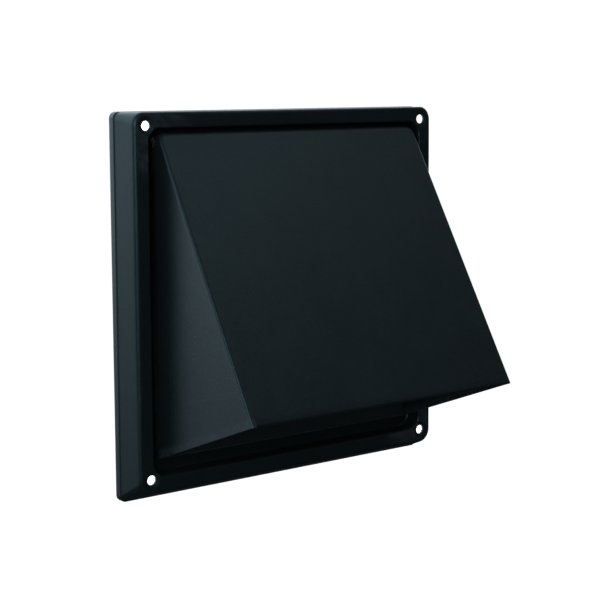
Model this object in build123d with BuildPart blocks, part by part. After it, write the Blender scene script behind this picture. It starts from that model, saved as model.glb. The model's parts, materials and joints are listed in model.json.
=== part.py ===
"""Hooded wall vent with a gravity backdraught flap, for a 150 mm round duct.

+Z is up, +Y points into the wall and the hood faces -Y. The origin is the centre of the
four wall screws, on the wall plane. A "depth" is a distance in front of the wall plane.
"""
from build123d import *
from math import atan2, cos, degrees, radians, sin
import os

# Sheet and fits
sheet = 1.2                   # steel of the base and the hood
flap_sheet = 1.0              # aluminium of the flap
running_clearance = 0.05      # pin in its bushes, radial
seat_clearance = 0.05         # rivets, bushes and clips in their holes, radial
swing_clearance = 0.3         # flap to the seal, to the stop pads and to the bushes
side_clearance = 1.1          # flap edge to the hood's side walls

# Base: a pressed square plate on a skirt
face_width = 194.0            # flat front of the base, square
face_depth = 20.0             # front face above the wall
face_radius = 7.0
flare_side = 3.0              # how far the skirt spreads towards the wall
flare_top = 0.0
flare_bottom = 6.5
rear_radius = 3.4
rim_depth = 4.0               # straight rim at the wall
bend_radius = 1.6
flange_width = 8.5            # flat flange round the recess
recess_depth = 10.0           # recess floor behind the face
recess_radius = 7.0

# Wall screws
screw_edge = 7.0              # screw centres in from the face's edges
screw_hole_radius = 2.5
dimple_radius = 3.7
dimple_depth = 0.6
spacer_wall = 1.0

# Hood
side_groove = 5.0             # recess edge to the hood's side walls
top_groove = 2.5              # recess edge to the hood's top wall
lip_depth = 101.0             # lip of the front panel in front of the wall
lip_height = -48.5
root_gap = 5.693              # from the recess's lower edge up to the hood's root
hood_corner_radius = 4.6
fold_radius = 1.6
hem_length = 8.0
hem_notch = 1.2               # gap between the hem and each side wall
tab_length = 12.0
tab_height = 12.0
tab_offset = 62.0             # tab centres above and below the origin

# Flap and its pin
pin_radius = 1.5
roll_top_gap = 0.75           # rolled edge to the hood's top wall
bush_floor_gap = 0.3          # bush flange to the recess floor
flap_lap = 2.7                # flap's lower edge below the seal
flap_return = 3.0             # stiffening edges turned back towards the wall
roll_end_gap = 5.5            # rolled edge stops short of the hood's rounded corners
roll_shoulder = 4.5           # full-width part of the flap starts this far below the pin
stop_angle = 1.06             # open flap to the front panel, in degrees
bush_wall = 1.05
bush_reach = 3.1              # bush inside the hood
bush_flange_step = 0.6        # flange radius over the bush's own
bush_flange = 1.0
clip_width = 1.6
clip_thickness = 0.8
pin_overhang = 0.6

# Stop pads
pad_spacing = 110.0
pad_width = 12.0
pad_length = 10.0
pad_edge_gap = 22.0           # lower edge of a pad to the lip

# Duct spigot and seals
duct_bore = 150.0             # duct that goes over the spigot
duct_play = 1.0               # radial play between duct and spigot
spigot_wall = 1.0
spigot_reach = 45.0           # spigot behind the wall plane
spigot_taper_length = 8.0
spigot_taper = 1.4
spigot_flange_edge = 5.7      # spigot flange beyond the rivets' centres
spigot_flange_radius = 10.0
gasket_thickness = 1.5
seal_width = 4.3
seal_lap = 1.0                # seal's bore outside the duct opening
wall_gasket_width = 6.0
wall_gasket_depth = 4.0
gasket_spacer_gap = 0.3

# Rivets
rivet_radius = 1.6
rivet_head_radius = 3.2
rivet_head = 1.1
rivet_bulb_radius = 2.4
rivet_bulb = 2.0
mandrel_radius = 0.9

# Worked out from the values above
face_half = face_width / 2
rear_half = face_half + flare_side
rear_height = face_width + flare_top + flare_bottom
rear_centre = (flare_top - flare_bottom) / 2
recess_half = face_half - flange_width
floor_depth = face_depth - recess_depth
floor_back = floor_depth - sheet
screw_half = face_half - screw_edge
screw_spacing = 2 * screw_half
spacer_radius = screw_hole_radius + spacer_wall

hood_half = recess_half - side_groove
hood_inner = hood_half - sheet
hood_top = recess_half - top_groove
hood_angle = atan2(lip_depth - face_depth, hood_top - lip_height)
root_height = -(recess_half - root_gap)
tab_front = floor_depth + sheet
rivet_offset = hood_inner - tab_length / 2

bush_bore = pin_radius + running_clearance
bush_radius = bush_bore + bush_wall
bush_flange_radius = bush_radius + bush_flange_step
clip_bore = pin_radius + seat_clearance
clip_start = hood_half + bush_flange + swing_clearance
pin_half = clip_start + clip_thickness + pin_overhang
pin_depth = floor_depth + bush_flange_radius + bush_floor_gap

roll_inner = pin_radius + seat_clearance
roll_outer = roll_inner + flap_sheet
pin_height = hood_top - sheet - roll_top_gap - roll_outer
flap_front = pin_depth + roll_outer
flap_back = flap_front - flap_sheet
flap_half = hood_inner - side_clearance
roll_half = hood_inner - roll_end_gap

spigot_radius = duct_bore / 2 - duct_play
spigot_bore = spigot_radius - spigot_wall
seal_bore = spigot_bore + seal_lap
seal_radius = seal_bore + seal_width
flap_bottom = -(seal_radius + flap_lap)
gasket_front = floor_back
spigot_front = gasket_front - gasket_thickness
spigot_back = spigot_front - sheet
spigot_flange_half = rivet_offset + spigot_flange_edge

corners = {
    "top_left": (-1, 1),
    "top_right": (1, 1),
    "bottom_left": (-1, -1),
    "bottom_right": (1, -1),
}
sides = {"left": -1, "right": 1}

os.makedirs("parts", exist_ok=True)


def save(part, name):
    """Label a finished piece and write it to its own file."""
    part.label = name
    export_step(part, f"parts/{name}.step")


def at_depth(depth):
    """Plane parallel to the wall; its normal points away from the wall."""
    return Plane.XZ.offset(depth)


def rear_outline(inset):
    """Outline of the skirt at the wall, drawn inwards by inset."""
    with Locations((0, rear_centre)):
        RectangleRounded(2 * (rear_half - inset), rear_height - 2 * inset, rear_radius - inset)


def square_outline(half, radius):
    """Square with rounded corners about the origin."""
    RectangleRounded(2 * half, 2 * half, radius)


# Base frame: skirt, flange, recess with its turned-in edge and floor
with BuildPart() as skirt_hollow:
    with BuildSketch(at_depth(-sheet)):
        rear_outline(sheet)
    extrude(amount=rim_depth + sheet)
    with BuildSketch(at_depth(rim_depth)):
        rear_outline(sheet)
    with BuildSketch(at_depth(face_depth - sheet)):
        square_outline(face_half - sheet, face_radius - sheet)
    loft()

with BuildPart() as base_frame:
    with BuildSketch(at_depth(0)):
        rear_outline(0)
    extrude(amount=rim_depth)
    with BuildSketch(at_depth(rim_depth)):
        rear_outline(0)
    with BuildSketch(at_depth(face_depth)):
        square_outline(face_half, face_radius)
    loft()
    fillet(faces().sort_by(Axis.Y)[0].edges(), bend_radius)
    add(skirt_hollow.part, mode=Mode.SUBTRACT)
    with BuildSketch(at_depth(floor_back)):
        square_outline(recess_half + sheet, recess_radius + sheet)
    extrude(amount=face_depth - floor_back)
    with BuildSketch(at_depth(floor_depth)):
        square_outline(recess_half, recess_radius)
    extrude(amount=recess_depth, mode=Mode.SUBTRACT)
    recess_edges = faces().sort_by(Axis.Y)[0].inner_wires().edges()
    fillet(recess_edges, sheet)
    with BuildSketch(at_depth(floor_back)):
        Circle(spigot_bore)
        with GridLocations(2 * rivet_offset, 2 * tab_offset, 2, 2):
            Circle(rivet_radius + seat_clearance)
    extrude(amount=sheet, mode=Mode.SUBTRACT)
    # pressed dimples with the screw holes in them
    with BuildSketch(at_depth(face_depth - sheet)):
        with GridLocations(screw_spacing, screw_spacing, 2, 2):
            Circle(dimple_radius)
    extrude(amount=sheet, mode=Mode.SUBTRACT)
    for side_x, side_z in corners.values():
        screw_axis = Axis((side_x * screw_half, 0, side_z * screw_half), (0, 1, 0))
        with BuildSketch(Plane.XY.offset(side_z * screw_half)):
            with BuildLine():
                Polyline(
                    (side_x * screw_half + screw_hole_radius, dimple_depth - face_depth),
                    (side_x * screw_half + dimple_radius, -face_depth),
                    (side_x * screw_half + dimple_radius, sheet - face_depth),
                    (side_x * screw_half + screw_hole_radius, dimple_depth + sheet - face_depth),
                    close=True,
                )
            make_face()
        revolve(axis=screw_axis)
save(base_frame.part, "base_frame")

# Hood: front panel, top wall and side walls of one folded sheet, with a hem along the lip
panel_down = (-sin(hood_angle), -cos(hood_angle))        # along the panel towards the lip, in Y and Z
panel_in = (cos(hood_angle), -sin(hood_angle))           # square to the panel, into the hood


def panel_point(along, inwards):
    """Point in Y and Z: along the panel up from its lip, and inwards from its outer face."""
    return (
        -lip_depth - along * panel_down[0] + inwards * panel_in[0],
        lip_height - along * panel_down[1] + inwards * panel_in[1],
    )


with BuildPart() as hood_hollow:
    with BuildSketch(Plane.YZ.offset(-hood_inner)):
        with BuildLine():
            inner_top = hood_top - sheet
            inner_bend = panel_point((inner_top - lip_height) / cos(hood_angle), 0)
            inner_shift = sheet / cos(hood_angle)
            Polyline(
                (2 * sheet - floor_depth, inner_top),
                (inner_bend[0] + inner_shift, inner_top),
                panel_point(-2 * hem_length, sheet),
                (2 * sheet - floor_depth, root_height - 3 * hem_length),
                close=True,
            )
        make_face()
    extrude(amount=2 * hood_inner)
    upper_edges = edges().filter_by(Axis.Y).group_by(Axis.Z)[-1]
    fillet(upper_edges, hood_corner_radius - sheet)

with BuildPart() as hood:
    with BuildSketch(Plane.YZ.offset(-hood_half)):
        with BuildLine():
            Polyline(
                (-floor_depth, hood_top),
                (-face_depth, hood_top),
                (-lip_depth, lip_height),
                (-floor_depth, root_height),
                close=True,
            )
        make_face()
    extrude(amount=2 * hood_half)
    upper_edges = edges().filter_by(Axis.Y).group_by(Axis.Z)[-1]
    fillet(upper_edges, hood_corner_radius)
    panel_face = faces().sort_by(Axis((0, 0, 0), (0, -cos(hood_angle), sin(hood_angle))))[-1]
    panel_lip = panel_face.edges().sort_by(Axis.Z)[0]
    fold_edges = [edge for edge in panel_face.edges() if edge != panel_lip]
    fillet(fold_edges, fold_radius)
    add(hood_hollow.part, mode=Mode.SUBTRACT)
    # closed hem behind the lip
    with BuildSketch(Plane.YZ.offset(hem_notch - hood_inner)):
        with BuildLine():
            Polyline(
                panel_point(0, 0),
                panel_point(0, 2 * sheet),
                panel_point(hem_length, 2 * sheet),
                panel_point(hem_length, sheet / 2),
                panel_point(fold_radius, sheet / 2),
                panel_point(fold_radius, 0),
                close=True,
            )
        make_face()
        fillet(vertices().sort_by(Axis.Y)[:2], 0.9 * sheet)
    extrude(amount=2 * (hood_inner - hem_notch))
    # fixing tabs on the recess floor
    with BuildSketch(at_depth(floor_depth)):
        for side_x, side_z in corners.values():
            with Locations((side_x * (hood_inner - tab_length / 2), side_z * tab_offset)):
                Rectangle(tab_length + sheet, tab_height)
    extrude(amount=sheet)
    with BuildSketch(at_depth(floor_depth)):
        with GridLocations(2 * rivet_offset, 2 * tab_offset, 2, 2):
            Circle(rivet_radius + seat_clearance)
    extrude(amount=sheet, mode=Mode.SUBTRACT)
    # holes for the pin's bushes
    with BuildSketch(Plane.YZ.offset(-hood_half)):
        with Locations((-pin_depth, pin_height)):
            Circle(bush_radius + seat_clearance)
    extrude(amount=bush_reach + sheet, mode=Mode.SUBTRACT)
    with BuildSketch(Plane.YZ.offset(hood_half)):
        with Locations((-pin_depth, pin_height)):
            Circle(bush_radius + seat_clearance)
    extrude(amount=-bush_reach - sheet, mode=Mode.SUBTRACT)
save(hood.part, "hood")

# Flap: shallow tray with its top edge rolled round the pin
with BuildPart() as damper_flap:
    with BuildSketch(at_depth(flap_back)):
        with Locations((0, flap_bottom)):
            Rectangle(
                2 * flap_half,
                pin_height - roll_shoulder - flap_bottom,
                align=(Align.CENTER, Align.MIN),
            )
            Rectangle(2 * roll_half, pin_height - flap_bottom, align=(Align.CENTER, Align.MIN))
    extrude(amount=flap_sheet)
    with BuildSketch(at_depth(flap_back - flap_return)):
        with Locations((0, flap_bottom)):
            Rectangle(2 * flap_half, flap_sheet, align=(Align.CENTER, Align.MIN))
        return_height = pin_height - 2 * roll_shoulder - flap_bottom
        with Locations((-flap_half, flap_bottom)):
            Rectangle(flap_sheet, return_height, align=(Align.MIN, Align.MIN))
        with Locations((flap_half, flap_bottom)):
            Rectangle(flap_sheet, return_height, align=(Align.MAX, Align.MIN))
    extrude(amount=flap_return)
    with BuildSketch(Plane.YZ.offset(-roll_half)):
        with Locations((-pin_depth, pin_height)):
            Circle(roll_outer)
            Circle(roll_inner, mode=Mode.SUBTRACT)
    extrude(amount=2 * roll_half)
save(damper_flap.part, "damper_flap")

# Hinge pin with its bushes and push-on clips
with BuildPart() as flap_pin:
    with BuildSketch(Plane.YZ.offset(-pin_half)):
        with Locations((-pin_depth, pin_height)):
            Circle(pin_radius)
    extrude(amount=2 * pin_half)
    chamfer(edges().filter_by(GeomType.CIRCLE), 0.2 * pin_radius)
save(flap_pin.part, "flap_pin")


def pin_ring(outer, bore):
    """Ring about the pin's axis, drawn on a plane square to it."""
    with Locations((-pin_depth, pin_height)):
        Circle(outer)
        Circle(bore, mode=Mode.SUBTRACT)


for side, sign in sides.items():
    wall_side = Plane.YZ.offset(sign * hood_half)
    with BuildPart() as pin_bush:
        with BuildSketch(wall_side):
            pin_ring(bush_radius, bush_bore)
        extrude(amount=-sign * bush_reach)
        with BuildSketch(wall_side):
            pin_ring(bush_flange_radius, bush_bore)
        extrude(amount=sign * bush_flange)
    save(pin_bush.part, f"pin_bush_{side}")

    with BuildPart() as pin_clip:
        with BuildSketch(Plane.YZ.offset(sign * clip_start)):
            pin_ring(clip_bore + clip_width, clip_bore)
        extrude(amount=sign * clip_thickness)
    save(pin_clip.part, f"pin_clip_{side}")

# Stop pads inside the front panel, as thick as the open flap leaves room for
lip_y, lip_z = -lip_depth + pin_depth, lip_height - pin_height      # lip as seen from the pin
lip_along = lip_y * panel_down[0] + lip_z * panel_down[1]
panel_gap = -(lip_y * panel_in[0] + lip_z * panel_in[1]) - sheet    # pin to the panel's inner face
pad_top = lip_along - pad_edge_gap - pad_length
stop_turn = radians(stop_angle)
flap_gap = panel_gap - roll_outer * cos(stop_turn) + pad_top * sin(stop_turn)
pad_thickness = flap_gap - swing_clearance
pad_centre = panel_point(pad_edge_gap + pad_length / 2, sheet)

for side, sign in sides.items():
    pad_plane = Plane(
        origin=(sign * pad_spacing / 2, pad_centre[0], pad_centre[1]),
        x_dir=(1, 0, 0),
        z_dir=(0, panel_in[0], panel_in[1]),
    )
    with BuildPart() as stop_pad:
        with BuildSketch(pad_plane):
            RectangleRounded(pad_width, pad_length, 2)
        extrude(amount=pad_thickness)
    save(stop_pad.part, f"stop_pad_{side}")

# Flap seal: ring on the recess floor round the duct opening
with BuildPart() as flap_seal:
    with BuildSketch(at_depth(floor_depth)):
        Circle(seal_radius)
        Circle(seal_bore, mode=Mode.SUBTRACT)
    extrude(amount=flap_back - swing_clearance - floor_depth)
save(flap_seal.part, "flap_seal")

# Spigot that the duct slides over, with its square flange
with BuildPart() as duct_spigot:
    with BuildSketch(Plane.XY):
        with BuildLine():
            Polyline(
                (spigot_bore, -spigot_front),
                (spigot_radius, -spigot_front),
                (spigot_radius, spigot_reach - spigot_taper_length),
                (spigot_radius - spigot_taper, spigot_reach),
                (spigot_bore - spigot_taper, spigot_reach),
                (spigot_bore, spigot_reach - spigot_taper_length),
                close=True,
            )
        make_face()
    revolve(axis=Axis.Y)
    with BuildSketch(at_depth(spigot_back)):
        square_outline(spigot_flange_half, spigot_flange_radius)
        Circle(spigot_bore, mode=Mode.SUBTRACT)
        with GridLocations(2 * rivet_offset, 2 * tab_offset, 2, 2):
            Circle(rivet_radius + seat_clearance, mode=Mode.SUBTRACT)
    extrude(amount=sheet)
save(duct_spigot.part, "duct_spigot")

with BuildPart() as spigot_gasket:
    with BuildSketch(at_depth(spigot_front)):
        square_outline(spigot_flange_half, spigot_flange_radius)
        Circle(spigot_bore, mode=Mode.SUBTRACT)
        with GridLocations(2 * rivet_offset, 2 * tab_offset, 2, 2):
            Circle(rivet_radius + seat_clearance, mode=Mode.SUBTRACT)
    extrude(amount=gasket_thickness)
save(spigot_gasket.part, "spigot_gasket")

# Foam gasket inside the rim, flush with the wall plane
with BuildPart() as wall_gasket:
    with BuildSketch(at_depth(0)):
        rear_outline(sheet)
        with Locations((0, rear_centre)):
            inner_inset = sheet + wall_gasket_width
            Rectangle(
                2 * (rear_half - inner_inset), rear_height - 2 * inner_inset, mode=Mode.SUBTRACT
            )
        with GridLocations(screw_spacing, screw_spacing, 2, 2):
            Circle(spacer_radius + gasket_spacer_gap, mode=Mode.SUBTRACT)
    extrude(amount=wall_gasket_depth)
save(wall_gasket.part, "wall_gasket")

# Blind rivets through the hood's tabs, the floor, the gasket and the spigot's flange
for name, (side_x, side_z) in corners.items():
    rivet_x = side_x * rivet_offset
    rivet_z = side_z * tab_offset
    with BuildPart() as rivet:
        with BuildSketch(Plane.XY.offset(rivet_z)):
            with BuildLine():
                Polyline(
                    (rivet_x, -tab_front),
                    (rivet_x, -spigot_back + rivet_bulb),
                    (rivet_x + rivet_bulb_radius, -spigot_back + rivet_bulb),
                    (rivet_x + rivet_bulb_radius, -spigot_back),
                    (rivet_x + rivet_radius, -spigot_back),
                    (rivet_x + rivet_radius, -tab_front),
                    (rivet_x + rivet_head_radius, -tab_front),
                    (rivet_x + rivet_head_radius, -tab_front - 0.3 * rivet_head),
                    (rivet_x + 0.6 * rivet_head_radius, -tab_front - rivet_head),
                    (rivet_x + mandrel_radius, -tab_front - rivet_head),
                    (rivet_x + mandrel_radius, -tab_front),
                    close=True,
                )
            make_face()
        revolve(axis=Axis((rivet_x, 0, rivet_z), (0, 1, 0)))
    save(rivet.part, f"rivet_{name}")

    # Spacer sleeve round each wall screw, from the dimple back to the wall
    with BuildPart() as wall_spacer:
        with BuildSketch(at_depth(0)):
            with Locations((side_x * screw_half, side_z * screw_half)):
                Circle(spacer_radius)
                Circle(screw_hole_radius, mode=Mode.SUBTRACT)
        extrude(amount=face_depth - sheet - dimple_depth)
    save(wall_spacer.part, f"wall_spacer_{name}")

print(f"hood {degrees(hood_angle):.2f} deg, flap opens {degrees(hood_angle) - stop_angle:.2f} deg")
print(f"pin {pin_depth:.2f} mm out, {pin_height:.2f} mm up, pads {pad_thickness:.2f} mm thick")
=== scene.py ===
import json
import math

import bmesh
import bpy
import numpy as np
from mathutils import Matrix, Vector


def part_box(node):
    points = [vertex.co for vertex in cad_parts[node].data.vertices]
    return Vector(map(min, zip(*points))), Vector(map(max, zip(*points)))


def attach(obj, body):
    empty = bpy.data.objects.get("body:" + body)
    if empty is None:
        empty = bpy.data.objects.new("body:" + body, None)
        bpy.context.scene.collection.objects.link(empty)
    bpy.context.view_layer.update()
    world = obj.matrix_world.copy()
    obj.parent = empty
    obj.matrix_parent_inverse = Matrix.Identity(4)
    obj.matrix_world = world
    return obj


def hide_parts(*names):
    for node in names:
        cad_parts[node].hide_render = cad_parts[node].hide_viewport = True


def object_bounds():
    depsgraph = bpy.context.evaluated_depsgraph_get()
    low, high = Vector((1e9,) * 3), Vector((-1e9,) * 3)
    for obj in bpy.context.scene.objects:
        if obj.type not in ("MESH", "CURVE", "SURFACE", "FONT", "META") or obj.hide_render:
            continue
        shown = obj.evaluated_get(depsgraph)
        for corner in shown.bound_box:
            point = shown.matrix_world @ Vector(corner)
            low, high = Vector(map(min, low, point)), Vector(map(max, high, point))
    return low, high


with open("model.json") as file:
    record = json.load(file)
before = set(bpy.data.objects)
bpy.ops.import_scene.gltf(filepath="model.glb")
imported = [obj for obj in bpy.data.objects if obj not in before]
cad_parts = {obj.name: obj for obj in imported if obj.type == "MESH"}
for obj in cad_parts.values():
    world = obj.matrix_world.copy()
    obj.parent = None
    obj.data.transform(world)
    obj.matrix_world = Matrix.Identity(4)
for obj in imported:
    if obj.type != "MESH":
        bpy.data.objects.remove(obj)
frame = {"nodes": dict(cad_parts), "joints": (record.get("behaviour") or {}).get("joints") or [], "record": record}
cadLow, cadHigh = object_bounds()
mm = 0.001
joint = frame["joints"][0]
pinY, pinZ = joint["pos_m"][1], joint["pos_m"][2]
mounts = {mount["name"]: mount for mount in frame["record"]["mounts"]}
screws, spigotMount = mounts["wall_screws"], mounts["duct_spigot"]
spigotSheet = 1.0 * mm
print("frame loaded:", len(frame["nodes"]), "nodes")


# ---------- small helpers ----------

def unit(v):  # direction of each row of points
    return v / np.maximum(np.linalg.norm(v, axis=-1, keepdims=True), 1e-12)


def straight(a, b, cells):  # rows from a to b, both ends included
    t = np.linspace(0, 1, cells + 1)[:, None, None]
    return a * (1 - t) + b * t


def bend(a, corner, b, cells):  # quadratic curve from a to b that leaves both along the corner's two sides
    t = np.linspace(0, 1, cells + 1)[:, None, None]
    return a * (1 - t) ** 2 + corner * 2 * t * (1 - t) + b * t ** 2


def bentProfile(corners, bends, cells, bendCells=8):
    # straight runs between the corner rings, each corner rounded by its own bend length
    rows, start = [corners[0][None]], corners[0]
    for k, size in enumerate(bends):
        before = corners[k + 1] + unit(corners[k] - corners[k + 1]) * size
        after = corners[k + 1] + unit(corners[k + 2] - corners[k + 1]) * size
        rows.append(straight(start, before, cells[k])[1:])
        rows.append(bend(before, corners[k + 1], after, bendCells)[1:])
        start = after
    rows.append(straight(start, corners[-1], cells[-1])[1:])
    return np.concatenate(rows)


def gridFaces(rows, columns, closed=False, first=0):
    # four-cornered faces of a rows x columns grid of points, wrapped round if closed
    across = np.arange(columns if closed else columns - 1)
    i, j = np.meshgrid(np.arange(rows - 1), across, indexing="ij")
    k = (j + 1) % columns
    quads = np.stack([i * columns + j, i * columns + k, (i + 1) * columns + k, (i + 1) * columns + j], -1)
    return quads.reshape(-1, 4) + first


def smoothStep(t):
    t = np.clip(t, 0, 1)
    return t * t * (3 - 2 * t)


def makePiece(name, points, faces, facing=None):
    # mesh from arrays; doubles merged, and turned over if it doesn't look towards facing
    mesh = bpy.data.meshes.new(name)
    mesh.from_pydata(np.asarray(points, float).reshape(-1, 3).tolist(), [], np.asarray(faces).tolist())
    piece = bpy.data.objects.new(name, mesh)
    bpy.context.scene.collection.objects.link(piece)
    work = bmesh.new()
    work.from_mesh(mesh)
    bmesh.ops.remove_doubles(work, verts=work.verts, dist=0.01 * mm)
    bmesh.ops.dissolve_degenerate(work, edges=work.edges, dist=0.005 * mm)
    if facing is None:
        bmesh.ops.recalc_face_normals(work, faces=work.faces)
    else:
        total = sum((f.normal * f.calc_area() for f in work.faces), Vector())
        if total.dot(Vector(facing)) < 0:
            bmesh.ops.reverse_faces(work, faces=work.faces)
    work.to_mesh(mesh)
    work.free()
    return piece


def finishPiece(piece, thickness=0.0, edge=0.0, crease=32, cut=None):
    # gives sheet its thickness, drills it, softens its raw edges, and leaves a plain mesh with smooth bends
    if thickness:
        wall = piece.modifiers.new("sheet", "SOLIDIFY")
        wall.thickness = thickness
        wall.offset = -1
        wall.use_quality_normals = True
    if cut:
        drilled = piece.modifiers.new("cut", "BOOLEAN")
        drilled.operation = "DIFFERENCE"
        drilled.object = cut
    if edge:
        soft = piece.modifiers.new("edge", "BEVEL")
        soft.width = edge
        soft.segments = 2
        soft.limit_method = "ANGLE"
        soft.angle_limit = math.radians(55)
        soft.use_clamp_overlap = True
    bpy.context.view_layer.update()
    shaped = piece.evaluated_get(bpy.context.evaluated_depsgraph_get())
    mesh = bpy.data.meshes.new_from_object(shaped)
    piece.modifiers.clear()
    old, piece.data = piece.data, mesh
    bpy.data.meshes.remove(old)
    mesh.name = piece.name
    mesh.polygons.foreach_set("use_smooth", np.ones(len(mesh.polygons), bool))
    mesh.set_sharp_from_angle(angle=math.radians(crease))
    return piece


def place(piece, body, slot, material, *nodes):
    # rides on its body, stands for its CAD nodes and takes its finish
    piece.data.materials.clear()
    piece.data.materials.append(material)
    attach(piece, body)
    if nodes:
        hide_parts(*nodes)
    return piece


def turned(profile, centre, axis, steps=96):
    # profile rows of (radius, along) carried round an axis through centre; axis is "x" or "y"
    profile = np.asarray(profile, float)
    angle = np.linspace(0, 2 * math.pi, steps, endpoint=False)
    r, along = profile[:, 0, None], np.repeat(profile[:, 1, None], steps, 1)
    c, s = r * np.cos(angle), r * np.sin(angle)
    if axis == "y":
        return np.stack([centre[0] + c, along, centre[2] + s], -1)
    return np.stack([along, centre[1] + c, centre[2] + s], -1)


# ---------- shader groups and materials ----------

def newGroup(name, inputs, outputs):
    # inputs and outputs are (name, socket kind, default) rows
    group = bpy.data.node_groups.new(name, "ShaderNodeTree")
    for direction, rows in (("INPUT", inputs), ("OUTPUT", outputs)):
        for label, kind, value in rows:
            socket = group.interface.new_socket(label, in_out=direction, socket_type=f"NodeSocket{kind}")
            if value is not None:
                socket.default_value = value
    return group, group.nodes.new("NodeGroupInput"), group.nodes.new("NodeGroupOutput")


def addNode(tree, kind, values=None, **settings):
    node = tree.nodes.new(kind)
    for key, value in settings.items():
        setattr(node, key, value)
    for key, value in (values or {}).items():
        node.inputs[key].default_value = value
    return node


def addRamp(tree, factor, stops):
    ramp = tree.nodes.new("ShaderNodeValToRGB")
    elements = ramp.color_ramp.elements
    for extra in range(len(stops) - 2):
        elements.new(0.5)
    for element, (position, level) in zip(elements, stops):
        element.position = position
        element.color = (level, level, level, 1)
    tree.links.new(factor, ramp.inputs["Fac"])
    return ramp.outputs["Color"]


def buildCoatGrain():
    # orange peel height, fine flecks and broad cloudiness of a sprayed powder coat
    group, given, out = newGroup(
        "coatGrain",
        [("Vector", "Vector", None), ("Peel Scale", "Float", 650.0), ("Fleck Scale", "Float", 2600.0)],
        [("Height", "Float", None), ("Flecks", "Float", None), ("Clouds", "Float", None)],
    )
    peel = addNode(group, "ShaderNodeTexNoise", {"Detail": 2.0, "Roughness": 0.45})
    fleck = addNode(group, "ShaderNodeTexNoise", {"Detail": 1.0, "Roughness": 0.5})
    cloud = addNode(group, "ShaderNodeTexNoise", {"Scale": 14.0, "Detail": 3.0, "Roughness": 0.6})
    for node in (peel, fleck, cloud):
        group.links.new(given.outputs["Vector"], node.inputs["Vector"])
    group.links.new(given.outputs["Peel Scale"], peel.inputs["Scale"])
    group.links.new(given.outputs["Fleck Scale"], fleck.inputs["Scale"])
    both = addNode(group, "ShaderNodeMath", {1: 0.35}, operation="MULTIPLY_ADD")
    group.links.new(fleck.outputs["Fac"], both.inputs[0])
    group.links.new(peel.outputs["Fac"], both.inputs[2])
    group.links.new(both.outputs[0], out.inputs["Height"])
    group.links.new(addRamp(group, fleck.outputs["Fac"], [(0.60, 0.0), (0.72, 1.0)]), out.inputs["Flecks"])
    group.links.new(cloud.outputs["Fac"], out.inputs["Clouds"])
    return group


def buildSettledDust():
    # thin dust on what faces up, broken by a soft noise
    group, given, out = newGroup(
        "settledDust",
        [("Vector", "Vector", None), ("Amount", "Float", 0.3)],
        [("Mask", "Float", None)],
    )
    geometry = group.nodes.new("ShaderNodeNewGeometry")
    split = group.nodes.new("ShaderNodeSeparateXYZ")
    group.links.new(geometry.outputs["Normal"], split.inputs[0])
    noise = addNode(group, "ShaderNodeTexNoise", {"Scale": 60.0, "Detail": 4.0, "Roughness": 0.65})
    group.links.new(given.outputs["Vector"], noise.inputs["Vector"])
    up = addRamp(group, split.outputs["Z"], [(0.15, 0.0), (0.95, 1.0)])
    patch = addRamp(group, noise.outputs["Fac"], [(0.35, 0.2), (0.75, 1.0)])
    product = addNode(group, "ShaderNodeMath", operation="MULTIPLY")
    scaled = addNode(group, "ShaderNodeMath", operation="MULTIPLY")
    group.links.new(up, product.inputs[0])
    group.links.new(patch, product.inputs[1])
    group.links.new(product.outputs[0], scaled.inputs[0])
    group.links.new(given.outputs["Amount"], scaled.inputs[1])
    group.links.new(scaled.outputs[0], out.inputs["Mask"])
    return group


def buildEdgeWear():
    # bright where the surface turns sharply outwards, broken up by noise
    group, given, out = newGroup(
        "edgeWear",
        [("Vector", "Vector", None), ("Amount", "Float", 0.5)],
        [("Mask", "Float", None)],
    )
    geometry = group.nodes.new("ShaderNodeNewGeometry")
    noise = addNode(group, "ShaderNodeTexNoise", {"Scale": 220.0, "Detail": 3.0, "Roughness": 0.6})
    group.links.new(given.outputs["Vector"], noise.inputs["Vector"])
    sharp = addRamp(group, geometry.outputs["Pointiness"], [(0.53, 0.0), (0.62, 1.0)])
    broken = addRamp(group, noise.outputs["Fac"], [(0.38, 0.25), (0.62, 1.0)])
    product = addNode(group, "ShaderNodeMath", operation="MULTIPLY")
    scaled = addNode(group, "ShaderNodeMath", operation="MULTIPLY")
    group.links.new(sharp, product.inputs[0])
    group.links.new(broken, product.inputs[1])
    group.links.new(product.outputs[0], scaled.inputs[0])
    group.links.new(given.outputs["Amount"], scaled.inputs[1])
    group.links.new(scaled.outputs[0], out.inputs["Mask"])
    return group


coatGrain = buildCoatGrain()
settledDust = buildSettledDust()
edgeWear = buildEdgeWear()


def startMaterial(name, **shader):
    # a Principled material with its plain values set, and its Object coordinates
    material = bpy.data.materials.new(name)
    material.use_nodes = True
    tree = material.node_tree
    main = tree.nodes["Principled BSDF"]
    for key, value in shader.items():
        main.inputs[key.replace("_", " ")].default_value = value
    where = tree.nodes.new("ShaderNodeTexCoord").outputs["Object"]
    return material, tree, main, where


def useGroup(tree, group, where, **values):
    node = addNode(tree, "ShaderNodeGroup", node_tree=group)
    tree.links.new(where, node.inputs["Vector"])
    for key, value in values.items():
        node.inputs[key.replace("_", " ")].default_value = value
    return node.outputs


def mixColours(tree, factor, low, high):
    # low and high are colours or sockets
    mix = addNode(tree, "ShaderNodeMix", data_type="RGBA")
    for socket, value in ((mix.inputs[6], low), (mix.inputs[7], high)):
        if isinstance(value, tuple):
            socket.default_value = value
        else:
            tree.links.new(value, socket)
    tree.links.new(factor, mix.inputs[0])
    return mix.outputs[2]


def spread(tree, factor, low, high):
    node = addNode(tree, "ShaderNodeMapRange", {"To Min": low, "To Max": high})
    tree.links.new(factor, node.inputs["Value"])
    return node.outputs["Result"]


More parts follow.
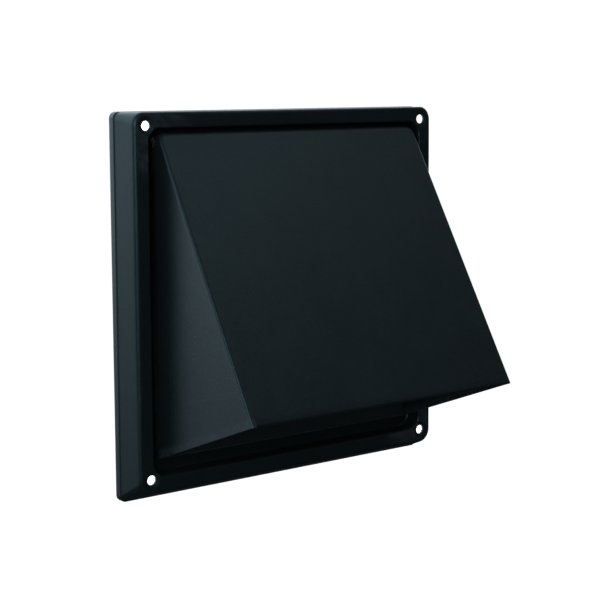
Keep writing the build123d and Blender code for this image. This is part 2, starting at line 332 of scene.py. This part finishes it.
def addBump(tree, main, height, strength, distance):
    bump = addNode(tree, "ShaderNodeBump", {"Strength": strength, "Distance": distance})
    tree.links.new(height, bump.inputs["Height"])
    tree.links.new(bump.outputs["Normal"], main.inputs["Normal"])


def powderCoat(name, deep, pale, gloss, paintedBlueReflectionTint, dust=0.25):
    # sprayed satin coat: clouded colour, flecks, dust and thin edges, on an orange-peel bump
    # the specular tint paints a blue cast into the coat's reflections, standing in for bluish light
    material, tree, main, where = startMaterial(name, Specular_Tint=paintedBlueReflectionTint, Specular_IOR_Level=gloss["level"])
    grain = useGroup(tree, coatGrain, where)
    colour = mixColours(tree, grain["Clouds"], deep, pale)
    colour = mixColours(tree, spread(tree, grain["Flecks"], 0.0, 0.35), colour, gloss["fleck"])
    colour = mixColours(tree, useGroup(tree, settledDust, where, Amount=dust)["Mask"], colour, gloss["dust"])
    colour = mixColours(tree, useGroup(tree, edgeWear, where, Amount=0.35)["Mask"], colour, gloss["edge"])
    tree.links.new(colour, main.inputs["Base Color"])
    tree.links.new(spread(tree, grain["Clouds"], gloss["smooth"], gloss["rough"]), main.inputs["Roughness"])
    addBump(tree, main, grain["Height"], gloss["bump"], 0.12 * mm)
    return material


satin = {
    "level": 0.42, "smooth": 0.34, "rough": 0.44, "bump": 0.4,
    "fleck": (0.04, 0.05, 0.054, 1), "dust": (0.035, 0.038, 0.038, 1), "edge": (0.03, 0.037, 0.042, 1),
}
# the last colour given to each coat is its painted blue reflection tint
blackCoat = powderCoat(
    "blackPowderCoat", (0.0028, 0.0042, 0.0046, 1), (0.0050, 0.0070, 0.0076, 1), satin, (0.44, 0.82, 1.0, 1), 0.18)
slateCoat = powderCoat(
    "slateFlapCoat", (0.0045, 0.0065, 0.0080, 1), (0.0070, 0.0095, 0.0115, 1), satin, (0.8, 0.93, 1.0, 1), 0.1)


def galvanisedSheet():
    # zinc spangle: cells of slightly different grey, each with its own gloss
    material, tree, main, where = startMaterial("galvanisedSheet", Metallic=1.0)
    cells = addNode(tree, "ShaderNodeTexVoronoi", {"Scale": 150.0, "Randomness": 1.0})
    noise = addNode(tree, "ShaderNodeTexNoise", {"Scale": 900.0, "Detail": 2.0})
    tree.links.new(where, cells.inputs["Vector"])
    tree.links.new(where, noise.inputs["Vector"])
    shade = addNode(tree, "ShaderNodeSeparateColor")
    tree.links.new(cells.outputs["Color"], shade.inputs[0])
    colour = mixColours(tree, shade.outputs[0], (0.44, 0.46, 0.48, 1), (0.60, 0.62, 0.64, 1))
    colour = mixColours(tree, useGroup(tree, settledDust, where, Amount=0.4)["Mask"], colour, (0.34, 0.33, 0.31, 1))
    tree.links.new(colour, main.inputs["Base Color"])
    tree.links.new(spread(tree, shade.outputs[1], 0.30, 0.50), main.inputs["Roughness"])
    addBump(tree, main, noise.outputs["Fac"], 0.25, 0.05 * mm)
    return material


def softRubber(name, dark, light, pores, depth):
    # moulded rubber or foam: fine pores and a little bloom
    material, tree, main, where = startMaterial(name, Roughness=0.85, Specular_IOR_Level=0.3)
    pore = addNode(tree, "ShaderNodeTexVoronoi", {"Scale": pores})
    bloom = addNode(tree, "ShaderNodeTexNoise", {"Scale": 90.0, "Detail": 5.0, "Roughness": 0.6})
    tree.links.new(where, pore.inputs["Vector"])
    tree.links.new(where, bloom.inputs["Vector"])
    tree.links.new(mixColours(tree, bloom.outputs["Fac"], dark, light), main.inputs["Base Color"])
    tree.links.new(spread(tree, bloom.outputs["Fac"], 0.75, 0.95), main.inputs["Roughness"])
    addBump(tree, main, pore.outputs["Distance"], 0.6, depth)
    return material


def nylonPaintedGlow():
    # milky nylon; a white emission paints a glow on it, standing in for light coming through its open end
    material, tree, main, where = startMaterial("nylonPaintedGlow", Subsurface_Weight=0.3, Subsurface_Scale=0.002)
    # painted glow: the nylon gives out white light of its own, though it is no lamp
    main.inputs["Emission Color"].default_value = (1.0, 1.0, 0.98, 1)
    main.inputs["Emission Strength"].default_value = 0.5
    main.inputs["Subsurface Radius"].default_value = (1.0, 0.95, 0.85)
    noise = addNode(tree, "ShaderNodeTexNoise", {"Scale": 400.0, "Detail": 3.0})
    tree.links.new(where, noise.inputs["Vector"])
    colour = mixColours(tree, noise.outputs["Fac"], (0.88, 0.88, 0.86, 1), (0.95, 0.95, 0.94, 1))
    tree.links.new(colour, main.inputs["Base Color"])
    tree.links.new(spread(tree, noise.outputs["Fac"], 0.35, 0.50), main.inputs["Roughness"])
    addBump(tree, main, noise.outputs["Fac"], 0.2, 0.03 * mm)
    return material


def drawnMetal(name, dark, light, stretch, roughness):
    # fine lines drawn along the piece: noise squeezed across them
    material, tree, main, where = startMaterial(name, Metallic=1.0)
    mapping = addNode(tree, "ShaderNodeMapping", {"Scale": stretch})
    noise = addNode(tree, "ShaderNodeTexNoise", {"Scale": 1.0, "Detail": 3.0, "Roughness": 0.7})
    tree.links.new(where, mapping.inputs["Vector"])
    tree.links.new(mapping.outputs["Vector"], noise.inputs["Vector"])
    tree.links.new(mixColours(tree, noise.outputs["Fac"], dark, light), main.inputs["Base Color"])
    tree.links.new(spread(tree, noise.outputs["Fac"], roughness - 0.08, roughness + 0.1), main.inputs["Roughness"])
    addBump(tree, main, noise.outputs["Fac"], 0.3, 0.02 * mm)
    return material


galvanised = galvanisedSheet()
sealRubber = softRubber("sealRubber", (0.012, 0.012, 0.013, 1), (0.028, 0.028, 0.029, 1), 1600.0, 0.05 * mm)
gasketFoam = softRubber("gasketFoam", (0.055, 0.056, 0.058, 1), (0.10, 0.10, 0.105, 1), 1100.0, 0.25 * mm)
nylon = nylonPaintedGlow()
blackNylon = softRubber("blackNylon", (0.010, 0.010, 0.011, 1), (0.018, 0.018, 0.019, 1), 700.0, 0.02 * mm)
pinSteel = drawnMetal("pinSteel", (0.030, 0.030, 0.032, 1), (0.060, 0.060, 0.062, 1), (40.0, 3000.0, 3000.0), 0.34)
rivetMetal = drawnMetal("rivetMetal", (0.46, 0.47, 0.48, 1), (0.64, 0.65, 0.66, 1), (1500.0, 300.0, 1500.0), 0.36)
print("materials made")


# ---------- pressed base ----------

baseLow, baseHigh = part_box("base_frame")
base = {
    "sheet": 1.2 * mm,
    "faceRadius": 7 * mm,
    "rearRadius": 3.4 * mm,
    "rim": 4 * mm,               # straight rim at the wall
    "step": (0.8 * mm, 0.35 * mm),          # small step in from the rim: its length and depth
    "flange": 8.5 * mm,          # flat edge round the recess
    "recessDepth": 10 * mm,
    "recessRadius": 7 * mm,
    "bends": (0.35 * mm, 0.4 * mm, 2.4 * mm, 1.5 * mm, 1.7 * mm),     # rim, step, front, recess edge, floor
    "cells": (3, 1, 8, 26, 6, 10),
    "fine": 0.42 * mm,           # point spacing near the corners
    "fineSpan": 8.4 * mm,
    "coarse": 10,
    "arc": 26,
    "dimple": 4.9 * mm,
    "dimpleDepth": 0.8 * mm,
}
faceHalf = baseHigh.z            # the face is square and level with the skirt's top edge
recessHalf = faceHalf - base["flange"]
faceY = baseLow.y
floorY = faceY + base["recessDepth"]


def ringAround(halfX, halfZ, radius, centreZ=0.0):
    # rounded rectangle, denser near its corners, anticlockwise from the middle of its right side
    lx, lz = halfX - radius, halfZ - radius
    fine = np.arange(-base["fineSpan"], 0.5 * base["fine"], base["fine"])
    side = lambda span: np.concatenate(
        [np.linspace(0, span - base["fineSpan"], base["coarse"], endpoint=False), span + fine])
    angle = np.linspace(0, math.pi / 2, base["arc"] + 1)[1:-1]
    up, along = side(lz), side(lx)[::-1]
    x = np.concatenate([np.full(up.size, halfX), lx + radius * np.cos(angle), along])
    z = np.concatenate([up, lz + radius * np.sin(angle), np.full(along.size, halfZ)])
    quarter = np.stack([x, z], -1)
    turn = lambda q, sx, sz: (q if sx == sz else q[::-1]) * (sx, sz)
    ring = np.concatenate([turn(quarter, sx, sz)[:-1] for sx, sz in ((1, 1), (-1, 1), (-1, -1), (1, -1))])
    return ring + (0, centreZ)


def atDepth(ring, y):
    return np.stack([ring[:, 0], np.full(len(ring), y), ring[:, 1]], -1)


def pressedBase():
    rearSize = np.array([baseHigh.x, (baseHigh.z - baseLow.z) / 2, base["rearRadius"], (baseHigh.z + baseLow.z) / 2])
    faceSize = np.array([faceHalf, faceHalf, base["faceRadius"], 0])
    length, depth = base["step"]
    share = length / (-faceY - base["rim"])
    rear, face = ringAround(*rearSize), ringAround(*faceSize)
    step = ringAround(*(rearSize * (1 - share) + faceSize * share - (depth, depth, 0, 0)))
    recess = ringAround(recessHalf, recessHalf, base["recessRadius"])
    bore = unit(recess) * (spigotMount["dims"]["r_mm"] * mm - spigotSheet)
    rings = bentProfile(
        [atDepth(rear, 0), atDepth(rear, -base["rim"]), atDepth(step, -base["rim"] - length), atDepth(face, faceY),
         atDepth(recess, faceY), atDepth(recess, floorY), atDepth(bore, floorY)],
        base["bends"], base["cells"])
    # dimples: pressed towards the wall round each screw hole
    screwX, screwZ = (screws["dims"][key] / 2 * mm for key in ("spacing_x_mm", "spacing_y_mm"))
    holeRadius = screws["dims"]["hole_r_mm"] * mm
    dx, dz = np.abs(rings[..., 0]) - screwX, np.abs(rings[..., 2]) - screwZ
    away = np.hypot(dx, dz)
    onFace = rings[..., 1] < faceY + 0.02 * mm
    dip = smoothStep((base["dimple"] - away) / (base["dimple"] - holeRadius + 0.2 * mm))
    rings[..., 1] += np.where(onFace, dip * base["dimpleDepth"], 0)
    piece = makePiece("pressedBase", rings, gridFaces(*rings.shape[:2], closed=True), facing=(0, -1, 0))
    # the holes are drilled through the finished sheet
    corners = [(sx * screwX, (faceY + floorY) / 2, sz * screwZ) for sx in (-1, 1) for sz in (-1, 1)]
    bores = [turned([(0, faceY - mm), (holeRadius, faceY - mm), (holeRadius, floorY), (0, floorY)], corner, "y", 64)
             for corner in corners]
    oneBore = gridFaces(4, 64, closed=True)
    drill = makePiece("drill", np.concatenate(bores), np.concatenate([oneBore + 256 * k for k in range(4)]))
    finishPiece(piece, base["sheet"], 0.12 * mm, cut=drill)
    bpy.data.objects.remove(drill)
    return piece


place(pressedBase(), "housing", "powder_coated_steel", blackCoat, "base_frame")
print("base made")


# ---------- folded hood ----------

hoodLow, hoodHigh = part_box("hood")
hood = {
    "sheet": 1.2 * mm,
    "corner": 4.6 * mm,          # rounded upper corners of the front panel
    "fold": 1.9 * mm,
    "cornerCells": 10,
    "acrossCells": 44,
    "downCells": 50,
    "wallCells": 18,
    "foldCells": 7,
    "hemLength": 8 * mm,
    "hemNotch": 2.4 * mm,        # hem stops short of the hood's outer sides
    "lipZ": -48.5 * mm,
    "tab": (12 * mm, 12 * mm),
    "tabZ": 62 * mm,
}
hoodHalf, hoodTop = hoodHigh.x, hoodHigh.z
lipY, rootZ = hoodLow.y, hoodLow.z
leanY = (faceY - lipY) / (hoodTop - hood["lipZ"])     # how far the panel comes out for each metre down
hoodAngle = math.atan(leanY)
upPanel = np.array([0, math.sin(hoodAngle), math.cos(hoodAngle)])
inPanel = np.array([0, math.cos(hoodAngle), -math.sin(hoodAngle)])


def panelGrid(half, top, radius, bottom, style):
    # upright rectangle with its two upper corners rounded: a square grid there is drawn in to an arc
    corner = np.linspace(0, 1, style["cornerCells"] + 1)
    flat = half - radius
    xs = np.concatenate([-half + radius * corner, np.linspace(-flat, flat, style["acrossCells"] + 1)[1:-1],
                         half - radius * corner[::-1]])
    down = np.concatenate([np.zeros(style["cornerCells"]), np.linspace(0, 1, style["downCells"] + 1)])
    drop = np.concatenate([radius * corner[:-1], np.full(style["downCells"] + 1, radius)])
    z = (top - drop)[:, None] * (1 - down[:, None]) + np.broadcast_to(bottom, xs.shape)[None] * down[:, None]
    x = np.broadcast_to(xs, z.shape).copy()
    dx, dz = np.maximum(np.abs(x) - flat, 0) / radius, np.maximum(z - (top - radius), 0) / radius
    pull = np.where((dx > 0) & (dz > 0), np.maximum(dx, dz) / np.maximum(np.hypot(dx, dz), 1e-9), 1.0)
    x = np.where(pull < 1, np.sign(x) * (flat + dx * pull * radius), x)
    z = np.where(pull < 1, top - radius + dz * pull * radius, z)
    return x, z


def border(grid):  # up the left side, along the top and down the right side
    return np.concatenate([grid[::-1, 0], grid[0, 1:-1], grid[:, -1]])


def capFaces(panel, walls):
    # joins a panel grid and its wall rows into one set of points and faces
    points = np.concatenate([panel.reshape(-1, 3), walls.reshape(-1, 3)])
    faces = np.concatenate([
        gridFaces(*panel.shape[:2]),
        gridFaces(*walls.shape[:2], first=panel.shape[0] * panel.shape[1])[:, ::-1]])
    return points, faces


def onPanel(x, z):
    return np.stack([x, faceY - (hoodTop - z) * leanY, z], -1)


def foldedHood():
    fold, corner, radius = hood["fold"], hood["corner"], hood["sheet"]
    outer = panelGrid(hoodHalf, hoodTop, corner, hood["lipZ"], hood)
    # between the notches the panel stops where the hem's round edge begins
    hemHalf = hoodHalf - hood["hemNotch"]
    innerX = panelGrid(hoodHalf - fold, hoodTop - fold, corner - fold, hood["lipZ"], hood)[0][-1]
    hemColumns = np.abs(innerX) < hemHalf
    end = hood["lipZ"] + np.where(hemColumns, radius * math.cos(hoodAngle), 0)
    panel = onPanel(*panelGrid(hoodHalf - fold, hoodTop - fold, corner - fold, end, hood))
    edge = border(onPanel(*outer))
    rootX, rootZs = panelGrid(hoodHalf, hoodTop, corner, rootZ, hood)
    root = border(np.stack([rootX, np.full(rootX.shape, floorY), rootZs], -1))
    inner = border(panel)
    after = edge + unit(root - edge) * fold
    walls = np.concatenate([bend(inner, edge, after, hood["foldCells"]), straight(after, root, hood["wallCells"])[1:]])
    points, faces = capFaces(panel, walls)
    # hem: the panel's lower edge turned back flat against its inner face
    lip = panel[-1][hemColumns] - upPanel * radius
    turn = np.linspace(0, math.pi, 11)
    t = np.concatenate([radius - radius * np.cos(turn), [2 * radius] * 5])
    w = np.concatenate([radius - radius * np.sin(turn), np.linspace(radius, hood["hemLength"], 6)[1:]])
    hem = lip[None] + t[:, None, None] * inPanel + w[:, None, None] * upPanel
    faces = np.concatenate([faces, gridFaces(*hem.shape[:2], first=len(points))])
    points = np.concatenate([points, hem.reshape(-1, 3)])
    # tabs: turned in from the side walls on to the recess floor
    length, height = hood["tab"]
    for sx in (-1, 1):
        for sz in (-1, 1):
            z = sz * hood["tabZ"] + np.linspace(-height / 2, height / 2, 7)
            start = np.stack([np.full(7, sx * (hoodHalf - 0.3 * mm)), np.full(7, floorY - 4 * mm), z], -1)
            heel = start + (0, 4 * mm, 0)
            toe = heel + (-sx * (length + hood["sheet"] - 0.3 * mm), 0, 0)
            tab = bentProfile([start, heel, toe], (2 * mm,), (3, 8), 6)
            tabFaces = gridFaces(*tab.shape[:2], first=len(points))
            faces = np.concatenate([faces, tabFaces if sx > 0 else tabFaces[:, ::-1]])
            points = np.concatenate([points, tab.reshape(-1, 3)])
    piece = makePiece("foldedHood", points, faces, facing=(0, -1, 0))
    return finishPiece(piece, hood["sheet"], 0.14 * mm)


place(foldedHood(), "housing", "powder_coated_steel", blackCoat, "hood")
print("hood made")


# ---------- flap and its hardware ----------

flapLow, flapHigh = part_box("damper_flap")
flap = {
    "sheet": 1.0 * mm,
    "corner": 2.2 * mm,
    "fold": 1.2 * mm,
    "cornerCells": 5,
    "acrossCells": 40,
    "downCells": 40,
    "wallCells": 4,
    "foldCells": 5,
    "shoulder": 4.5 * mm,        # full-width part starts this far below the pin
    "rollHalf": 76.8 * mm,
    "rollTurn": 290,             # degrees that the top edge goes round the pin
}


def hangingFlap():
    frontY, backY = flapLow.y, flapHigh.y
    half, low = flapHigh.x, flapLow.z
    rollRadius = pinY - frontY
    returnY = frontY + 4.0 * mm
    fold, corner = flap["fold"], flap["corner"]
    shoulderZ = pinZ - flap["shoulder"]
    # drawn upside down, with its closed end up, then turned over
    x, z = panelGrid(half - fold, -low - fold, corner - fold, -shoulderZ, flap)
    panel = np.stack([x, np.full(x.shape, frontY), -z], -1)
    x, z = panelGrid(half, -low, corner, -shoulderZ, flap)
    edge = border(np.stack([x, np.full(x.shape, frontY), -z], -1))
    lastZ = shoulderZ - flap["shoulder"]
    x, z = panelGrid(half, -low, corner, -lastZ, flap)
    tip = border(np.stack([x, np.full(x.shape, returnY), -z], -1))
    after = edge + (0, fold, 0)
    walls = np.concatenate([bend(border(panel), edge, after, flap["foldCells"]),
                            straight(after, tip, flap["wallCells"])[1:]])
    points, faces = capFaces(panel, walls)
    # top edge rolled round the pin
    across = np.linspace(-flap["rollHalf"], flap["rollHalf"], 61)
    turn = np.radians(np.linspace(0, flap["rollTurn"], 41))
    y = np.concatenate([np.full(5, frontY), pinY - rollRadius * np.cos(turn)])
    z = np.concatenate([np.linspace(shoulderZ, pinZ, 6)[:-1], pinZ + rollRadius * np.sin(turn)])
    roll = np.stack(np.broadcast_arrays(across[None], y[:, None], z[:, None]), -1)
    faces = np.concatenate([faces, gridFaces(*roll.shape[:2], first=len(points))])
    points = np.concatenate([points, roll.reshape(-1, 3)])
    piece = makePiece("hangingFlap", points, faces, facing=(0, -1, 0))
    return finishPiece(piece, flap["sheet"], 0.12 * mm)


place(hangingFlap(), "flap", "coated_flap", slateCoat, "damper_flap")
print("flap made")


# ---------- spigot, seal, rivets ----------

spigotLow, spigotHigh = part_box("duct_spigot")
spigot = {
    "radius": spigotMount["dims"]["r_mm"] * mm,
    "flangeRadius": 10 * mm,
    "flangeBack": 1.2 * mm,
    "taperLength": 8 * mm,
    "taper": 1.4 * mm,
    "grooveAt": 0.74,            # share of the tube's length
    "grooveWidth": 3.2 * mm,
    "grooveDepth": 0.7 * mm,
    "seamAngle": 0.9,
    "seamWidth": 2.6 * mm,
}


def ductSpigot():
    half, endY = spigotHigh.x, spigotHigh.y
    backY = spigotLow.y + spigot["flangeBack"]
    square = ringAround(half, half, spigot["flangeRadius"])
    circle = unit(square) * spigot["radius"]
    neck = unit(square) * (spigot["radius"] - spigot["taper"])
    rows = bentProfile(
        [atDepth(square, backY), atDepth(circle, backY), atDepth(circle, endY - spigot["taperLength"]),
         atDepth(neck, endY)],
        (1.6 * mm, 2.5 * mm), (8, 60, 8))
    # a swage round the tube and a lock seam along it, both pressed inwards
    r = np.hypot(rows[..., 0], rows[..., 2])
    onTube = rows[..., 1] > backY + 1.7 * mm
    swageY = backY + (endY - backY) * spigot["grooveAt"]
    swage = np.exp(-((rows[..., 1] - swageY) / spigot["grooveWidth"]) ** 4) * spigot["grooveDepth"]
    turn = np.arctan2(rows[..., 2], rows[..., 0]) - spigot["seamAngle"]
    offset = np.abs(turn) * spigot["radius"] - spigot["seamWidth"]
    seam = np.exp(-(offset / (0.5 * mm)) ** 2) * 0.3 * mm
    shrink = 1 - np.where(onTube, swage + seam, 0) / r
    rows[..., 0] *= shrink
    rows[..., 2] *= shrink
    piece = makePiece("ductSpigot", rows, gridFaces(*rows.shape[:2], closed=True), facing=(0, 1, 0))
    return finishPiece(piece, spigotSheet, 0.12 * mm)


def flapSeal():
    # ring of D-shaped section: flat back on the floor, round nose towards the flap
    low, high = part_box("flap_seal")
    outer = high.x
    width, height = 4.3 * mm, high.y - low.y
    a = np.linspace(0, math.pi, 25)
    nose = width / 2
    radii = np.concatenate([[outer, outer], outer - nose + nose * np.cos(a), [outer - width, outer - width]])
    along = np.concatenate([[high.y, high.y - 1 * mm], low.y + nose - nose * np.sin(a), [high.y - 1 * mm, high.y]])
    profile = np.stack([radii, along], -1)
    profile = np.concatenate([profile, profile[:1]])
    rows = turned(profile, (0, 0, 0), "y", 160)
    piece = makePiece("flapSealRing", rows, gridFaces(*rows.shape[:2], closed=True))
    return finishPiece(piece)


def blindRivet(name, node):
    # domed head with the broken mandrel in it, shank, and the bulb behind the flange
    low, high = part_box(node)
    centre = ((low.x + high.x) / 2, 0, (low.z + high.z) / 2)
    head, bulb, mandrel = high.x - centre[0], 2.4 * mm, 0.9 * mm
    seatY = low.y + 1.1 * mm
    a = np.linspace(0, math.pi / 2, 9)
    dome = np.stack([mandrel + (head - mandrel) * np.sin(a), seatY - 0.25 * mm - 0.85 * mm * np.cos(a)], -1)
    tail = np.stack([bulb * np.cos(a), high.y - 1.1 * mm + 1.1 * mm * np.sin(a)], -1)
    profile = np.concatenate([
        [[0, low.y + 0.5 * mm], [mandrel * 0.8, low.y + 0.45 * mm], [mandrel, low.y + 0.3 * mm]],
        dome, [[head, seatY], [1.6 * mm, seatY], [1.6 * mm, high.y - 2.0 * mm], [bulb, high.y - 1.6 * mm]], tail])
    rows = turned(profile, centre, "y", 40)
    piece = makePiece(name, rows, gridFaces(*rows.shape[:2], closed=True))
    return finishPiece(piece, crease=40)


place(ductSpigot(), "housing", "zinc_coated_steel", galvanised, "duct_spigot")
place(flapSeal(), "housing", "black_rubber", sealRubber, "flap_seal")
for corner in ("top_left", "top_right", "bottom_left", "bottom_right"):
    node = f"rivet_{corner}"
    place(blindRivet(f"blindRivet_{corner}", node), "housing", "rivet_aluminium", rivetMetal, node)
print("spigot, seal and rivets made")

carried = {
    "flap_pin": pinSteel, "pin_clip_left": pinSteel, "pin_clip_right": pinSteel,
    "pin_bush_left": blackNylon, "pin_bush_right": blackNylon,
    "stop_pad_left": sealRubber, "stop_pad_right": sealRubber,
    # the wall spacers take the nylon with its painted glow
    "spigot_gasket": sealRubber, "wall_gasket": gasketFoam,
    "wall_spacer_top_left": nylon, "wall_spacer_top_right": nylon,
    "wall_spacer_bottom_left": nylon, "wall_spacer_bottom_right": nylon,
}
for node, material in carried.items():
    frame["nodes"][node].data.materials.clear()
    frame["nodes"][node].data.materials.append(material)


# ---------- studio ----------

studio = {
    "floorDrop": 0.55,           # floor below the vent
    "floorSize": 12.0,
    "floorLift": 0.75,
    "fill": 0.36,                # level of the surroundings on matt surfaces
    "frontGlow": 0.035,          # what gloss sees in front of the vent
    "backGlow": 1.5,             # and behind it, above the level of the floor
}


def studioWorld():
    # white to the camera; to gloss it is white behind the vent and dim in front of it
    world = bpy.data.worlds.new("studio")
    bpy.context.scene.world = world
    world.use_nodes = True
    tree = world.node_tree
    tree.nodes.clear()
    out = tree.nodes.new("ShaderNodeOutputWorld")
    path = tree.nodes.new("ShaderNodeLightPath")
    direction = tree.nodes.new("ShaderNodeTexCoord").outputs["Generated"]
    split = tree.nodes.new("ShaderNodeSeparateXYZ")
    tree.links.new(direction, split.inputs[0])
    glow = addNode(tree, "ShaderNodeMapRange", {
        "From Min": -0.1, "From Max": 0.7, "To Min": studio["frontGlow"], "To Max": studio["backGlow"]})
    tree.links.new(split.outputs["Y"], glow.inputs["Value"])
    above = addNode(tree, "ShaderNodeMapRange", {"From Min": -0.30, "From Max": 0.10, "To Min": 0.02, "To Max": 1.5})
    tree.links.new(split.outputs["Z"], above.inputs["Value"])
    level = addNode(tree, "ShaderNodeMath", operation="MULTIPLY")
    tree.links.new(glow.outputs["Result"], level.inputs[0])
    tree.links.new(above.outputs["Result"], level.inputs[1])
    matt = addNode(tree, "ShaderNodeBackground", {"Color": (0.93, 0.97, 1.0, 1), "Strength": studio["fill"]})
    gloss = addNode(tree, "ShaderNodeBackground", {"Color": (0.85, 0.95, 1.0, 1)})
    tree.links.new(level.outputs[0], gloss.inputs["Strength"])
    plain = addNode(tree, "ShaderNodeBackground", {"Color": (1, 1, 1, 1), "Strength": 1.05})
    first, second = tree.nodes.new("ShaderNodeMixShader"), tree.nodes.new("ShaderNodeMixShader")
    seen = addNode(tree, "ShaderNodeMath", operation="MAXIMUM")
    tree.links.new(path.outputs["Is Camera Ray"], seen.inputs[0])
    tree.links.new(path.outputs["Is Transmission Ray"], seen.inputs[1])
    tree.links.new(path.outputs["Is Glossy Ray"], first.inputs[0])
    tree.links.new(matt.outputs[0], first.inputs[1])
    tree.links.new(gloss.outputs[0], first.inputs[2])
    tree.links.new(seen.outputs[0], second.inputs[0])
    tree.links.new(first.outputs[0], second.inputs[1])
    tree.links.new(plain.outputs[0], second.inputs[2])
    tree.links.new(second.outputs[0], out.inputs["Surface"])


def studioFloor():
    # pale floor that is white to the camera and that gloss doesn't see
    size, z = studio["floorSize"], cadLow.z - studio["floorDrop"]
    grid = np.linspace(-size, size, 3)
    points = np.stack(np.broadcast_arrays(grid[:, None], grid[None], z), -1)
    floor = makePiece("studioFloor", points, gridFaces(3, 3), facing=(0, 0, 1))
    material, tree, main, where = startMaterial("paleFloor", Roughness=0.9, Specular_IOR_Level=0.0)
    noise = addNode(tree, "ShaderNodeTexNoise", {"Scale": 2.0, "Detail": 2.0})
    tree.links.new(where, noise.inputs["Vector"])
    tree.links.new(mixColours(tree, noise.outputs["Fac"], (0.80, 0.80, 0.80, 1), (0.83, 0.83, 0.83, 1)),
                   main.inputs["Base Color"])
    path = tree.nodes.new("ShaderNodeLightPath")
    lift = addNode(tree, "ShaderNodeMath", {1: studio["floorLift"]}, operation="MULTIPLY")
    tree.links.new(path.outputs["Is Camera Ray"], lift.inputs[0])
    main.inputs["Emission Color"].default_value = (1, 1, 1, 1)
    tree.links.new(lift.outputs[0], main.inputs["Emission Strength"])
    floor.data.materials.append(material)
    floor.visible_glossy = False


def softLight(name, place, aim, size, power, colour=(1, 1, 1)):
    data = bpy.data.lights.new(name, "AREA")
    data.shape = "RECTANGLE"
    data.size, data.size_y = size
    data.energy = power
    data.color = colour
    lamp = bpy.data.objects.new(name, data)
    bpy.context.scene.collection.objects.link(lamp)
    lamp.location = place
    lamp.rotation_euler = (Vector(aim) - Vector(place)).to_track_quat("-Z", "Y").to_euler()
    return lamp


studioWorld()
studioFloor()
softLight("keyLight", (-1.7, -1.9, 0.7), (0, 0, 0), (0.7, 0.7), 22)
softLight("sideLight", (-2.0, -1.0, 0.75), (0, 0, 0), (0.3, 2.0), 13, (0.78, 0.92, 1.0))
softLight("topLight", (0.9, -0.9, 1.7), (0, 0, 0), (1.0, 0.7), 2.5)

camera = {
    "place": (-0.4584, -0.6492, 0.1094),
    "heading": 36.32,            # degrees to the right of straight at the wall
    "tilt": 5.58,                # degrees below level
    "roll": -0.40,
    "lens": 87.5,
    "shiftY": -0.12,
}


def studioCamera():
    data = bpy.data.cameras.new("viewCamera")
    data.sensor_width = 36
    data.lens = camera["lens"]
    data.shift_y = camera["shiftY"]
    data.clip_start, data.clip_end = 0.02, 40
    viewer = bpy.data.objects.new("viewCamera", data)
    bpy.context.scene.collection.objects.link(viewer)
    turn = (Matrix.Rotation(math.radians(-camera["heading"]), 4, "Z")
            @ Matrix.Rotation(math.radians(90 - camera["tilt"]), 4, "X")
            @ Matrix.Rotation(math.radians(camera["roll"]), 4, "Z"))
    viewer.matrix_world = Matrix.Translation(camera["place"]) @ turn
    bpy.context.scene.camera = viewer


studioCamera()
bpy.context.scene.view_settings.view_transform = "Standard"
print("studio made")
